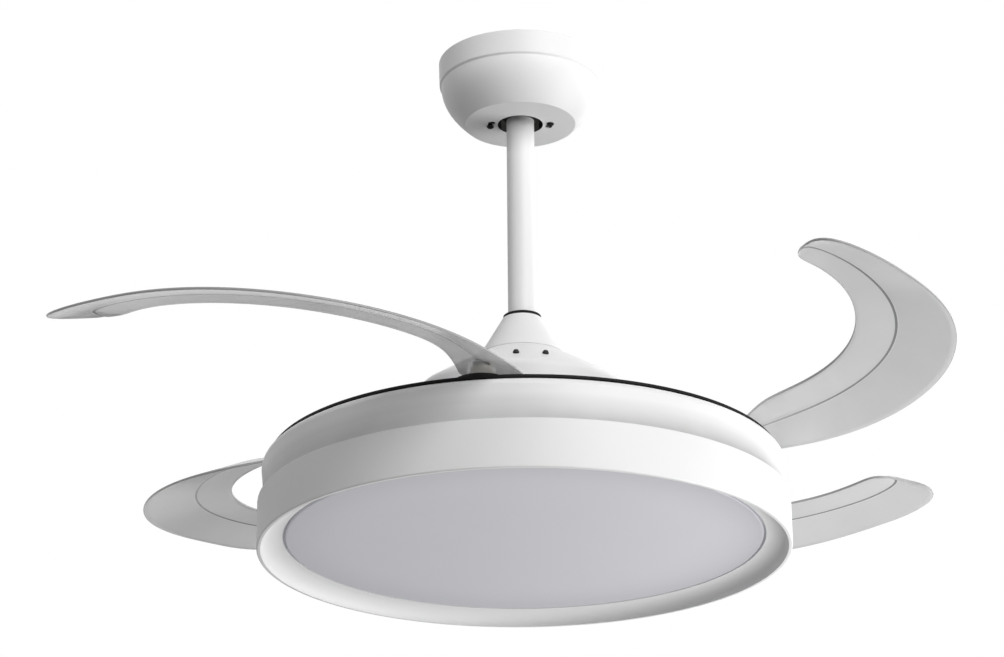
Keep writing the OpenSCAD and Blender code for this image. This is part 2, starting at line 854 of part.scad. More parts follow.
module lamp_shell() {
    r = shell_r;
    f = shell_fillet;
    t = shell_wall;
    waist_in = shell_waist_r - t;
    flange_z = z_ring + t;
    color("white") difference() {
        lathe(concat(
            [[shaft_r, z_floor - t], [waist_in, z_floor - t], [waist_in, flange_z]],
            [[shell_flange_in, flange_z], [shell_flange_in, z_ring]],
            [for (a = [90 : -15 : 0])
                [shell_waist_r + (shell_foot_r - shell_waist_r) * (1 - cos(a)),
                 z_ring + shell_flare_h * (1 - sin(a))]],
            arc_points([r - f, z_shell - f], f, 0, 90, 6),
            arc_points([r - f, z_shell - f], f - t, 90, 0, 6),
            [[waist_in, z_floor], [shaft_r, z_floor]]
        ));
        ring_screw_holes();
    }
}

module shaft_nuts() {
    color("silver") difference() {
        union() {
            translate([0, 0, z_floor]) cylinder(r = nut_r, h = 6, $fn = 6);
            translate([0, 0, z_floor - shell_wall - 8]) cylinder(r = nut_r, h = 8, $fn = 6);
        }
        translate([0, 0, z_floor - 30]) cylinder(r = shaft_r, h = 60);
    }
}

module led_tray() {
    color("white") difference() {
        translate([0, 0, z_tray_low]) cylinder(r = tray_r, h = tray_t, $fn = 180);
        translate([0, 0, z_tray_low - 1]) cylinder(r = 8, h = tray_t + 2);
        around(6) translate([tray_r - 3, 0, z_tray_low - 1]) cylinder(r = 1.5, h = tray_t + 2);
    }
}

module tray_screws() {
    color("silver") around(6) translate([tray_r - 3, 0, z_tray_low]) screw_up(1.5, tray_t, 2.8, 1.6);
}

module led_driver() {
    color("gainsboro") translate([40, -35, z_ring]) cube([130, 70, 14]);
}

module motor_controller() {
    color("seagreen") translate([-160, -45, z_ring]) {
        for (x = [4, 110]) for (y = [4, 78]) translate([x, y, 0]) cylinder(r = 3, h = 3);
        translate([0, 0, 3]) cube([120, 88, 1.6]);
        translate([20, 20, 4.6]) cube([50, 40, 6]);
        for (y = [15, 45, 70]) translate([95, y, 4.6]) cylinder(r = 8, h = 8);
    }
}

module led_board() {
    color("whitesmoke") tube(board_r, 8, z_tray_low - board_t, z_tray_low);
}

module led_chips() {
    color("khaki") for (row = led_rows) around(row[1])
        translate([row[0], 0, z_tray_low - board_t - led_h / 2])
            cube([led_size, led_size, led_h], center = true);
}

module ring_screw_holes() {
    around(4, 45) translate([tray_r + 3.5, 0, z_tray_low - 1])
        cylinder(r = 1.5, h = tray_t + shell_wall + 2);
}

module light_ring() {
    wall_in = lamp_r - ring_wall;
    lip_z = z_bottom + recess_h;
    w = ring_bevel_out_r - opening_r;
    color("white") difference() {
        lathe(concat(
            [[tray_r, z_ring], [lamp_r, z_ring], [lamp_r, z_bottom + 1.2]],
            [[lamp_r - 1.2, z_bottom]],
            [for (a = [0 : 15 : 90])
                [ring_bevel_out_r - w * (1 - cos(a)), z_bottom + recess_h * sin(a)]],
            [[opening_r, lip_z + ring_lip_t], [wall_in, lip_z + ring_lip_t]],
            [[wall_in, z_tray_low], [tray_r, z_tray_low]]
        ));
        ring_screw_holes();
    }
}

module ring_screws() {
    color("silver") around(4, 45) translate([tray_r + 3.5, 0, z_tray_low])
        screw_up(1.5, tray_t + shell_wall, 2.8, 1.6);
}

module ring_clips() {
    z_top = z_bottom + recess_h + ring_lip_t + 2;
    color("silver") around(4) intersection() {
        tube(lamp_r - ring_wall, opening_r + 3, z_top, z_top + 1.2);
        translate([opening_r, -6, z_top - 1]) cube([40, 12, 4]);
    }
}

module diffuser() {
    lip_z = z_bottom + recess_h + ring_lip_t;
    color([0.95, 0.95, 0.97]) lathe([
        [0, lip_z - diffuser_t],
        [opening_r - diffuser_gap, lip_z - diffuser_t],
        [opening_r - diffuser_gap, lip_z],
        [opening_r + diffuser_flange_w, lip_z],
        [opening_r + diffuser_flange_w, lip_z + 2],
        [opening_r - diffuser_gap - 2, lip_z + 2],
        [opening_r - diffuser_gap - 2, lip_z - diffuser_t + 2],
        [0, lip_z - diffuser_t + 2]
    ]);
}

hanger_bracket();
canopy();
canopy_screws();
terminal_block();
hanger_ball();
downrod();
ball_pin();
ball_set_screw();
rod_gasket();
bell_cover();
shaft_coupler();
coupler_pin();
pin_clip();
coupler_screws();
motor_shaft();
stator_hub();
stator_core();
stator_windings();
hub_cover();
hub_cover_screws();
motor_case_top();
motor_case_bottom();
motor_magnets();
case_screws();
upper_bearing();
lower_bearing();
rotor_plate();
plate_screws();
pivot_bushes();
plate_posts();
return_springs();
gear_guide();
gear_retainer();
guide_screws();
sync_gear();
blade(0);  // blade_1
blade(1);  // blade_2
blade(2);  // blade_3
blade(3);  // blade_4
blade_gear(0);  // blade_gear_1
blade_gear(1);  // blade_gear_2
blade_gear(2);  // blade_gear_3
blade_gear(3);  // blade_gear_4
blade_screw(0);  // blade_screw_1
blade_screw(1);  // blade_screw_2
blade_screw(2);  // blade_screw_3
blade_screw(3);  // blade_screw_4
lamp_shell();
shaft_nuts();
led_driver();
motor_controller();
led_tray();
tray_screws();
led_board();
led_chips();
light_ring();
ring_screws();
ring_clips();
diffuser();
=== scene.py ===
import json
import math
import bmesh
import bpy
from mathutils import Matrix, Vector


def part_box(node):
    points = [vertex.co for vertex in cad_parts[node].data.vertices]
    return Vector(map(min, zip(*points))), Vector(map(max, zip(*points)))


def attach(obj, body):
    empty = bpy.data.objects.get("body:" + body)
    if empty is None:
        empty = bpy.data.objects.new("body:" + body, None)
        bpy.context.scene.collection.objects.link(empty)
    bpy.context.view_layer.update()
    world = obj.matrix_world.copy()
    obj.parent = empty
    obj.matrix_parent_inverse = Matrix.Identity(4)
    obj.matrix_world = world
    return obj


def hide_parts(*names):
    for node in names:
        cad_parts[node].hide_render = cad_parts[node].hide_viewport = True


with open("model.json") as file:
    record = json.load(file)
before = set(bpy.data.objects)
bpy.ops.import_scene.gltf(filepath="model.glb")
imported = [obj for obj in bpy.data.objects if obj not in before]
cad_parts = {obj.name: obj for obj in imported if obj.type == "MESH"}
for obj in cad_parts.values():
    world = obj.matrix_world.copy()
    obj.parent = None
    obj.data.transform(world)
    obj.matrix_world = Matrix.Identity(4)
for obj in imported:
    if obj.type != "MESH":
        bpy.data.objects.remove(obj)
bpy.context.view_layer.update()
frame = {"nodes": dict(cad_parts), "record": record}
scene = bpy.context.scene
bodies = frame["record"]["behaviour"]["bodies"]
mm = 0.001
print("frame loaded:", len(frame["nodes"]), "CAD nodes")


# Camera, light and floor

camera = {
    "place": (-0.01943, -3.0384, -1.4539),
    "pitch": 21.142,       # degrees above the horizon
    "roll": -0.44,         # degrees
    "focalPixels": 3400,   # for a picture of this width
    "pictureWidth": 1004,
    "sensor": 36,
}


def placeCamera():
    data = bpy.data.cameras.new("lowCamera")
    data.sensor_width = camera["sensor"]
    data.lens = camera["focalPixels"] / camera["pictureWidth"] * camera["sensor"]
    pitch = math.radians(camera["pitch"])
    roll = math.radians(camera["roll"])
    forward = Vector((0, math.cos(pitch), math.sin(pitch)))
    level = Vector((1, 0, 0))
    upward = Vector((0, -math.sin(pitch), math.cos(pitch)))
    across = level * math.cos(roll) + upward * math.sin(roll)
    along = upward * math.cos(roll) - level * math.sin(roll)
    place = Matrix((across, along, -forward)).transposed().to_4x4()
    place.translation = camera["place"]
    holder = bpy.data.objects.new("lowCamera", data)
    scene.collection.objects.link(holder)
    holder.matrix_world = place
    scene.camera = holder


placeCamera()


def findSocket(sockets, key):
    if isinstance(key, int):
        return sockets[key]
    return next(s for s in sockets if key in (s.identifier, s.name))


class Signal:  # one node socket, so that node maths reads as plain expressions
    def __init__(self, tree, socket=None):
        self.tree = tree
        self.socket = socket

    def add(self, kind, settings=None, inputs=None, out=0):
        node = self.tree.nodes.new(kind)
        for key, value in (settings or {}).items():
            setattr(node, key, value)
        for key, value in (inputs or {}).items():
            socket = findSocket(node.inputs, key)
            if isinstance(value, Signal):
                self.tree.links.new(value.socket, socket)
            else:
                socket.default_value = value
        return Signal(self.tree, findSocket(node.outputs, out))

    def feed(self, socket):
        self.tree.links.new(self.socket, socket)

    def maths(self, operation, first, second=0.0):
        return self.add("ShaderNodeMath", {"operation": operation}, {0: first, 1: second})

    def __add__(self, other):
        return self.maths("ADD", self, other)

    def __radd__(self, other):
        return self.maths("ADD", other, self)

    def __sub__(self, other):
        return self.maths("SUBTRACT", self, other)

    def __rsub__(self, other):
        return self.maths("SUBTRACT", other, self)

    def __mul__(self, other):
        return self.maths("MULTIPLY", self, other)

    def __rmul__(self, other):
        return self.maths("MULTIPLY", other, self)

    def __truediv__(self, other):
        return self.maths("DIVIDE", self, other)

    def __gt__(self, other):
        return self.maths("GREATER_THAN", self, other)


lamps = {
    "keySoftbox": {"place": (1.18, -2.04, 0.75), "size": 1.8, "watts": 52},
    "lowSoftbox": {"place": (1.11, 0, -1.12), "size": 1.2, "watts": 17},
    "leftSoftbox": {"place": (-1.49, -0.86, 0.45), "size": 2.0, "watts": 7.5},
    "rearSoftbox": {"place": (0.87, 0.87, 0.22), "size": 1.2, "watts": 6.5},
}
room = {
    "target": (0, 0, -0.35),
    "ambient": 0.09,
    "floorDepth": -2.6,
    "floorHalf": 9,
    "floorTone": (0.86, 0.86, 0.855, 1),
}


def placeLamps():
    for name, lamp in lamps.items():
        data = bpy.data.lights.new(name, "AREA")
        data.shape = "SQUARE"
        data.size = lamp["size"]
        data.energy = lamp["watts"]
        holder = bpy.data.objects.new(name, data)
        scene.collection.objects.link(holder)
        holder.location = lamp["place"]
        aim = Vector(room["target"]) - Vector(lamp["place"])
        holder.rotation_euler = aim.to_track_quat("-Z", "Y").to_euler()
        holder.visible_camera = False


def buildWorld():
    world = bpy.data.worlds.new("studioAir")
    scene.world = world
    world.use_nodes = True
    tree = world.node_tree
    tree.nodes.clear()
    start = Signal(tree)
    path = {k: start.add("ShaderNodeLightPath", None, None, "Is " + k + " Ray")
            for k in ("Camera", "Glossy", "Transmission")}
    seen = start.maths("MAXIMUM", path["Camera"], start.maths(
        "MAXIMUM", path["Glossy"], path["Transmission"]))
    dim = start.add("ShaderNodeBackground", None,
                    {"Color": (1, 1, 1, 1), "Strength": room["ambient"]})
    white = start.add("ShaderNodeBackground", None,
                      {"Color": (1, 1, 1, 1), "Strength": 1.0})
    mixed = start.add("ShaderNodeMixShader", None, {0: seen, 1: dim, 2: white})
    sink = tree.nodes.new("ShaderNodeOutputWorld")
    mixed.feed(sink.inputs["Surface"])


def layFloor():
    half = room["floorHalf"]
    z = room["floorDepth"]
    mesh = bpy.data.meshes.new("studioFloor")
    corners = [(-half, -half, z), (half, -half, z), (half, half, z), (-half, half, z)]
    mesh.from_pydata(corners, [], [(0, 1, 2, 3)])
    finish = bpy.data.materials.new("paleFloor")
    finish.use_nodes = True
    skin = finish.node_tree.nodes["Principled BSDF"]
    skin.inputs["Base Color"].default_value = room["floorTone"]
    skin.inputs["Roughness"].default_value = 0.7
    mesh.materials.append(finish)
    floor = bpy.data.objects.new("studioFloor", mesh)
    scene.collection.objects.link(floor)


placeLamps()
buildWorld()
layFloor()
scene.view_settings.view_transform = "Standard"
print("camera, lamps, world and floor placed")


# Finishes

def newFinish(name, tone, roughness, metallic=0.0, specular=0.5):
    finish = bpy.data.materials.new(name)
    finish.use_nodes = True
    skin = finish.node_tree.nodes["Principled BSDF"]
    skin.inputs["Base Color"].default_value = (*tone, 1)
    skin.inputs["Roughness"].default_value = roughness
    skin.inputs["Metallic"].default_value = metallic
    skin.inputs["Specular IOR Level"].default_value = specular
    return finish, Signal(finish.node_tree), skin


def objectPlace(start):
    return start.add("ShaderNodeTexCoord", None, None, "Object")


def noise(start, place, scale, detail=3.0, rough=0.5):
    return start.add("ShaderNodeTexNoise", None, {
        "Vector": place, "Scale": scale, "Detail": detail, "Roughness": rough}, "Fac")


def mixTones(start, factor, low, high):
    tones = {"A_Color": low, "B_Color": high}
    tones = {k: v if isinstance(v, Signal) else (*v, 1) for k, v in tones.items()}
    return start.add("ShaderNodeMix", {"data_type": "RGBA"},
                     {"Factor_Float": factor, **tones}, "Result_Color")


def addBump(start, skin, height, depth):
    start.add("ShaderNodeBump", None, {
        "Height": height, "Distance": depth, "Strength": 1.0,
    }).feed(skin.inputs["Normal"])


def coated(name, row):  # paint, moulded plastic or rubber
    finish, start, skin = newFinish(name, row["tone"], row["rough"], 0.0,
                                    row.get("specular", 0.5))
    place = objectPlace(start)
    cloud = noise(start, place, row["cloudScale"], 2.0)
    grain = noise(start, place, row["grainScale"], 2.0)
    darker = [c * (1 - row["cloud"]) for c in row["tone"]]
    lighter = [min(1, c * (1 + row["cloud"])) for c in row["tone"]]
    mixTones(start, cloud, darker, lighter).feed(skin.inputs["Base Color"])
    (row["rough"] - 0.06 + 0.12 * cloud + 0.04 * grain).feed(skin.inputs["Roughness"])
    addBump(start, skin, grain, row["grainDepth"])
    return finish


coats = {
    "satinWhitePaint": {
        "tone": (0.9, 0.9, 0.9), "rough": 0.42, "specular": 0.35, "cloudScale": 9,
        "cloud": 0.012, "grainScale": 900, "grainDepth": 0.00004},
    "whiteMoulding": {
        "tone": (0.9, 0.9, 0.9), "rough": 0.5, "specular": 0.35, "cloudScale": 14,
        "cloud": 0.01, "grainScale": 1700, "grainDepth": 0.00003},
    "blackPlate": {
        "tone": (0.012, 0.012, 0.012), "rough": 0.6, "specular": 0.12, "cloudScale": 22,
        "cloud": 0.25, "grainScale": 1100, "grainDepth": 0.00005},
    "blackRubber": {
        "tone": (0.012, 0.012, 0.012), "rough": 0.7, "specular": 0.1, "cloudScale": 60,
        "cloud": 0.3, "grainScale": 2600, "grainDepth": 0.00008},
    "blackNylon": {
        "tone": (0.013, 0.013, 0.013), "rough": 0.55, "specular": 0.15, "cloudScale": 40,
        "cloud": 0.2, "grainScale": 1800, "grainDepth": 0.00004},
    "blackScrewSteel": {
        "tone": (0.014, 0.014, 0.015), "rough": 0.45, "specular": 0.2, "cloudScale": 150,
        "cloud": 0.3, "grainScale": 3200, "grainDepth": 0.00002},
    # a dark coat: the hanger ball and bracket wear it, and inside the canopy it stands in as
    # painted shade
    "darkCoatAndShade": {
        "tone": (0.03, 0.031, 0.027), "rough": 0.6, "specular": 0.2, "cloudScale": 60,
        "cloud": 0.25, "grainScale": 1500, "grainDepth": 0.00004},
    "ivoryNylon": {
        "tone": (0.78, 0.74, 0.62), "rough": 0.5, "cloudScale": 26,
        "cloud": 0.05, "grainScale": 1500, "grainDepth": 0.00003},
    "driverCase": {
        "tone": (0.8, 0.8, 0.8), "rough": 0.55, "cloudScale": 18,
        "cloud": 0.03, "grainScale": 700, "grainDepth": 0.00006},
    "ledPhosphor": {
        "tone": (0.82, 0.68, 0.2), "rough": 0.5, "cloudScale": 900,
        "cloud": 0.12, "grainScale": 4200, "grainDepth": 0.00003},
}


def metal(name, row):
    finish, start, skin = newFinish(name, row["tone"], row["rough"], 1.0)
    place = objectPlace(start)
    drawn = start.add("ShaderNodeMapping", None,
                      {"Vector": place, "Scale": row.get("stretch", (1, 1, 1))})
    lines = noise(start, drawn, row["grainScale"], 4.0, 0.6)
    patch = noise(start, place, row["patchScale"], 3.0)
    darker = [c * (1 - row["patch"]) for c in row["tone"]]
    mixTones(start, patch, darker, row["tone"]).feed(skin.inputs["Base Color"])
    (row["rough"] - 0.1 + 0.14 * lines + 0.08 * patch).feed(skin.inputs["Roughness"])
    addBump(start, skin, lines, row["grainDepth"])
    return finish


metals = {
    "zincSteel": {
        "tone": (0.62, 0.63, 0.62), "rough": 0.38, "grainScale": 500, "patchScale": 130,
        "patch": 0.2, "grainDepth": 0.00003},
    "darkSteel": {
        "tone": (0.2, 0.2, 0.21), "rough": 0.4, "grainScale": 900, "patchScale": 200,
        "patch": 0.25, "grainDepth": 0.00003},
    "bearingSteel": {
        "tone": (0.7, 0.7, 0.71), "rough": 0.22, "grainScale": 1600, "patchScale": 60,
        "patch": 0.08, "grainDepth": 0.00001, "stretch": (1, 1, 6)},
    "springSteel": {
        "tone": (0.45, 0.45, 0.46), "rough": 0.3, "grainScale": 2400, "patchScale": 220,
        "patch": 0.2, "grainDepth": 0.00001},
    "castAluminium": {
        "tone": (0.6, 0.61, 0.62), "rough": 0.55, "grainScale": 700, "patchScale": 45,
        "patch": 0.15, "grainDepth": 0.0001},
    "whiteAluminium": {
        "tone": (0.8, 0.8, 0.81), "rough": 0.45, "grainScale": 800, "patchScale": 30,
        "patch": 0.08, "grainDepth": 0.00003, "stretch": (0.1, 1, 1)},
}


def laminated(name):  # stacked core sheets, half a millimetre each
    finish, start, skin = newFinish(name, (0.3, 0.3, 0.31), 0.45, 1.0)
    place = objectPlace(start)
    sheets = start.add("ShaderNodeTexWave", {"bands_direction": "Z"}, {
        "Vector": place, "Scale": 620.0, "Distortion": 0.4, "Detail": 1.0}, "Fac")
    mixTones(start, sheets, (0.12, 0.12, 0.13), (0.36, 0.36, 0.37)).feed(
        skin.inputs["Base Color"])
    (0.35 + 0.2 * sheets).feed(skin.inputs["Roughness"])
    addBump(start, skin, sheets, 0.00008)
    return finish


def wound(name):  # enamelled wire laid side by side
    finish, start, skin = newFinish(name, (0.6, 0.25, 0.08), 0.3, 1.0)
    place = objectPlace(start)
    turns = start.add("ShaderNodeTexWave", {"bands_direction": "Z"}, {
        "Vector": place, "Scale": 380.0, "Distortion": 0.8, "Detail": 1.0}, "Fac")
    patch = noise(start, place, 160.0)
    mixTones(start, turns * 0.8 + patch * 0.2, (0.16, 0.05, 0.015),
             (0.72, 0.31, 0.1)).feed(skin.inputs["Base Color"])
    (0.24 + 0.2 * patch).feed(skin.inputs["Roughness"])
    addBump(start, skin, turns, 0.00015)
    return finish


def circuit(name):  # board lacquer over copper lands
    finish, start, skin = newFinish(name, (0.01, 0.12, 0.05), 0.3)
    place = objectPlace(start)
    cells = start.add("ShaderNodeTexVoronoi", {"distance": "CHEBYCHEV"}, {
        "Vector": place, "Scale": 160.0, "Randomness": 0.7}, "Distance")
    tracks = cells > 0.42
    speckle = noise(start, place, 900.0)
    mixTones(start, tracks, (0.008, 0.1, 0.04), (0.02, 0.2, 0.08)).feed(
        skin.inputs["Base Color"])
    (0.28 + 0.14 * speckle).feed(skin.inputs["Roughness"])
    addBump(start, skin, tracks, 0.00004)
    return finish


def axisReach(start, place):  # distance from the fan's axis
    flat = start.add("ShaderNodeVectorMath", {"operation": "MULTIPLY"},
                     {0: place, 1: (1, 1, 0)}, "Vector")
    return start.add("ShaderNodeVectorMath", {"operation": "LENGTH"}, {0: flat}, "Value")


milk = {"tone": (0.78, 0.78, 0.83), "edgeFrom": 0.7, "edgeShade": 0.14, "radius": 0.2245}


def opal(name):  # milk acrylic of the lamp's face, with painted shade darkening it towards its rim in the recess
    finish, start, skin = newFinish(name, milk["tone"], 0.38, 0.0, 0.3)
    place = objectPlace(start)
    cloud = noise(start, place, 5.0, 2.0)
    speck = noise(start, place, 1400.0, 2.0)
    spread = (axisReach(start, place) / milk["radius"] - milk["edgeFrom"]) / (
        1 - milk["edgeFrom"])
    edge = start.maths("MINIMUM", start.maths("MAXIMUM", spread, 0.0), 1.0)
    tone = mixTones(start, cloud, [c * 0.975 for c in milk["tone"]],
                    [c * 1.025 for c in milk["tone"]])
    # painted shade: the colour darkens towards the diffuser's rim, where the ring's recess shades
    # it
    mixTones(start, edge * edge * milk["edgeShade"], tone, (0, 0, 0)).feed(
        skin.inputs["Base Color"])
    (0.34 + 0.06 * cloud + 0.05 * speck).feed(skin.inputs["Roughness"])
    addBump(start, skin, speck, 0.00002)
    return finish


smoke = {
    "tone": (0.77, 0.77, 0.775),
    "rimTone": (0.38, 0.38, 0.38),
    "grooveShadeTone": (0.16, 0.16, 0.165),
    "ridgeHighlightTone": (0.95, 0.95, 0.95),
    "alpha": 0.85,       # of one face of the sheet
    "rimAlpha": 0.95,
    "rootClear": 0.35,   # taken off the alpha at the root
    "clearTo": 0.31,
    "clearBand": 0.075,
}


def smoked(name):  # tinted clear blade sheet, darker at its rim, with painted shade in its crease groove and a painted highlight on its ridge
    finish, start, skin = newFinish(name, smoke["tone"], 0.2, 0.0, 0.3)
    place = objectPlace(start)
    mark = start.add("ShaderNodeAttribute", {"attribute_name": "strip"}, None, "Fac")
    rim = mark > 2.5
    groove = start.maths("MULTIPLY", mark > 0.5, 1 - (mark > 1.5))
    ridge = start.maths("MULTIPLY", mark > 1.5, 1 - rim)
    haze = noise(start, place, 12.0, 2.0)
    flow = noise(start, place, 260.0, 2.0)
    tone = mixTones(start, haze, [c * 0.95 for c in smoke["tone"]],
                    [c * 1.05 for c in smoke["tone"]])
    # painted shade darkens the crease groove, and a painted highlight lightens the ridge beside
    # it
    tone = mixTones(start, groove * 0.8, tone, smoke["grooveShadeTone"])
    tone = mixTones(start, ridge * 0.5, tone, smoke["ridgeHighlightTone"])
    mixTones(start, rim, tone, smoke["rimTone"]).feed(skin.inputs["Base Color"])
    (0.18 + 0.07 * haze).feed(skin.inputs["Roughness"])
    spread = smoke["rimAlpha"] - smoke["alpha"]
    solid = start.maths("MAXIMUM", rim, 0.6 * groove)
    fade = (smoke["clearTo"] - axisReach(start, place)) / smoke["clearBand"]
    root = start.maths("MINIMUM", start.maths("MAXIMUM", fade, 0.0), 1.0)
    (smoke["alpha"] - 0.01 + 0.02 * haze + spread * solid
     - smoke["rootClear"] * root).feed(skin.inputs["Alpha"])
    addBump(start, skin, flow, 0.00002)
    return finish


# the band at the shell's foot where shade is painted into the colour
footShade = {"rise": 0.026, "shade": 0.38}


def shellPaint(name):  # white paint, with painted shade darkening the groove at the shell's foot
    row = coats["satinWhitePaint"]
    finish, start, skin = newFinish(name, row["tone"], row["rough"], 0, row["specular"])
    place = objectPlace(start)
    height = start.add("ShaderNodeSeparateXYZ", None, {"Vector": place}, "Z")
    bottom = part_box("lamp_shell")[0].z
    near = start.maths("MAXIMUM", 1 - (height - bottom) / footShade["rise"], 0.0)
    cloud = noise(start, place, 30.0)
    grain = noise(start, place, row["grainScale"])
    # painted shade: the colour darkens towards the shell's foot, and the roughness rises with it
    paintedShade = near * (0.85 + 0.3 * cloud)
    clean = row["tone"]
    mixTones(start, paintedShade, clean, [c * (1 - footShade["shade"]) for c in clean]).feed(
        skin.inputs["Base Color"])
    (row["rough"] - 0.04 + 0.1 * cloud + 0.1 * paintedShade).feed(skin.inputs["Roughness"])
    addBump(start, skin, grain, row["grainDepth"])
    return finish


finishes = {name: coated(name, row) for name, row in coats.items()}
finishes.update({name: metal(name, row) for name, row in metals.items()})
finishes["laminatedCore"] = laminated("laminatedCore")
finishes["copperWire"] = wound("copperWire")
finishes["circuitBoard"] = circuit("circuitBoard")
finishes["opalAcrylic"] = opal("opalAcrylic")
finishes["smokedSheet"] = smoked("smokedSheet")
finishes["shellPaint"] = shellPaint("shellPaint")
print("finishes made:", len(finishes))


# Node trees for shapes that follow a rule

def newShapeTree(name, rows):
    tree = bpy.data.node_groups.new(name, "GeometryNodeTree")
    for label, kind, value in rows:
        socket = tree.interface.new_socket(
            label, in_out="INPUT", socket_type="NodeSocket" + kind)
        if value is not None:
            socket.default_value = value
    tree.interface.new_socket("Shape", in_out="OUTPUT", socket_type="NodeSocketGeometry")
    source = tree.nodes.new("NodeGroupInput")
    given = {row[0]: Signal(tree, source.outputs[row[0]]) for row in rows}
    return Signal(tree), given


def closeShapeTree(start, shape, finish):
    solid = start.add("GeometryNodeRealizeInstances", None, {"Geometry": shape})
    ready = start.add("GeometryNodeSetMaterial", None, {"Geometry": solid, "Material": finish})
    sink = start.tree.nodes.new("NodeGroupOutput")
    ready.feed(sink.inputs[0])
    return start.tree


def turningTree():  # spins a line of (radius, 0, height) points about the Z axis
    start, given = newShapeTree("turnedPart", [
        ("Line", "Geometry", None), ("Segments", "Int", 256), ("Finish", "Material", None)])
    line = given["Line"]
    rows = start.add("GeometryNodeAttributeDomainSize", {"component": "MESH"},
                     {"Geometry": line}, "Point Count")
    sheet = start.add("GeometryNodeMeshGrid", None, {
        "Vertices X": given["Segments"] + 1, "Vertices Y": rows}, "Mesh")
    index = start.add("GeometryNodeInputIndex")
    column = start.maths("FLOOR", (index + 0.5) / rows)
    row = start.add("FunctionNodeFloatToInt", {"rounding_mode": "ROUND"},
                    {0: index - column * rows})
    place = start.add("GeometryNodeInputPosition")
    point = start.add("GeometryNodeSampleIndex", {"data_type": "FLOAT_VECTOR"},
                      {"Geometry": line, "Value": place, "Index": row})
    parts = {k: start.add("ShaderNodeSeparateXYZ", None, {0: point}, k) for k in "XZ"}
    angle = column / given["Segments"] * (2 * math.pi)
    spun = start.add("ShaderNodeCombineXYZ", None, {
        "X": parts["X"] * start.maths("COSINE", angle),
        "Y": parts["X"] * start.maths("SINE", angle), "Z": parts["Z"]})
    moved = start.add("GeometryNodeSetPosition", None, {"Geometry": sheet, "Position": spun})
    joined = start.add("GeometryNodeMergeByDistance", None,
                       {"Geometry": moved, "Distance": 0.000005})
    return closeShapeTree(start, joined, given["Finish"])


def ringTree():  # stands copies of one item in a ring, in groups of equal spacing
    start, given = newShapeTree("ringOfItems", [
        ("Item", "Geometry", None), ("Count", "Int", 4), ("Group", "Int", 1),
        ("Step", "Float", 90.0), ("Gap", "Float", 0.0), ("First", "Float", 0.0),
        ("Radius", "Float", 0.1), ("Height", "Float", 0.0), ("Tilt", "Float", 0.0),
        ("Finish", "Material", None)])
    index = start.add("GeometryNodeInputIndex")
    group = start.maths("FLOOR", (index + 0.5) / given["Group"])
    within = index - group * given["Group"]
    degrees = given["First"] + given["Step"] * group + given["Gap"] * within
    angle = degrees * (math.pi / 180)
    place = start.add("ShaderNodeCombineXYZ", None, {
        "X": given["Radius"] * start.maths("COSINE", angle),
        "Y": given["Radius"] * start.maths("SINE", angle), "Z": given["Height"]})
    points = start.add("GeometryNodePoints", None, {
        "Count": given["Count"], "Position": place})
    turn = start.add("ShaderNodeCombineXYZ", None, {
        "Y": given["Tilt"] * (math.pi / 180), "Z": angle})
    copies = start.add("GeometryNodeInstanceOnPoints", None, {
        "Points": points, "Instance": given["Item"], "Rotation": turn})
    return closeShapeTree(start, copies, given["Finish"])


def coilTree():  # a closed coil spring and its straight leg
    start, given = newShapeTree("coilSpring", [
        ("Seed", "Geometry", None), ("Turns", "Float", 1.75), ("Radius", "Float", 0.01475),
        ("Wire", "Float", 0.00125), ("Height", "Float", 0.0032), ("Leg", "Float", 0.03),
        ("Base", "Float", 0.0), ("Finish", "Material", None)])
    spiral = start.add("GeometryNodeCurveSpiral", None, {
        "Resolution": 36, "Rotations": given["Turns"], "Start Radius": given["Radius"],
        "End Radius": given["Radius"], "Height": given["Height"]})
    lift = start.add("ShaderNodeCombineXYZ", None, {"Z": given["Base"]})
    raised = start.add("GeometryNodeTransform", None, {
        "Geometry": spiral, "Translation": lift})
    legStart = start.add("ShaderNodeCombineXYZ", None, {
        "X": given["Radius"], "Z": given["Base"]})
    legEnd = start.add("ShaderNodeCombineXYZ", None, {
        "X": given["Radius"], "Y": given["Leg"] * -1, "Z": given["Base"]})
    leg = start.add("GeometryNodeCurvePrimitiveLine", None, {
        "Start": legStart, "End": legEnd})
    lines = start.tree.nodes.new("GeometryNodeJoinGeometry")
    raised.feed(lines.inputs[0])
    leg.feed(lines.inputs[0])
    section = start.add("GeometryNodeCurvePrimitiveCircle", None, {
        "Resolution": 14, "Radius": given["Wire"]})
    wire = start.add("GeometryNodeCurveToMesh", None, {
        "Curve": Signal(start.tree, lines.outputs[0]), "Profile Curve": section,
        "Fill Caps": True})
    return closeShapeTree(start, wire, given["Finish"])


turnedPart = turningTree()
ringOfItems = ringTree()
coilSpring = coilTree()


def settle(piece):  # what the modifiers show becomes the piece's plain mesh
    graph = bpy.context.evaluated_depsgraph_get()
    mesh = bpy.data.meshes.new_from_object(piece.evaluated_get(graph))
    piece.modifiers.clear()
    old, piece.data = piece.data, mesh
    if old.users == 0:
        bpy.data.meshes.remove(old)
    return piece


def link(name, mesh):
    piece = bpy.data.objects.new(name, mesh)
    scene.collection.objects.link(piece)
    return piece


def grow(name, mesh, tree, values):
    piece = link(name, mesh)
    modifier = piece.modifiers.new(name, "NODES")
    modifier.node_group = tree
    keys = {s.name: s.identifier for s in tree.interface.items_tree
            if s.item_type == "SOCKET" and s.in_out == "INPUT"}
    for label, value in values.items():
        modifier[keys[label]] = value
    return settle(piece)


def faceOutward(piece):
    work = bmesh.new()
    work.from_mesh(piece.data)
    if work.calc_volume(signed=True) < 0:
        bmesh.ops.reverse_faces(work, faces=work.faces[:])
        work.to_mesh(piece.data)
    work.free()
    return piece


def smooth(piece, sharp=38):
    piece.data.shade_smooth()
    piece.data.set_sharp_from_angle(angle=math.radians(sharp))
    return piece


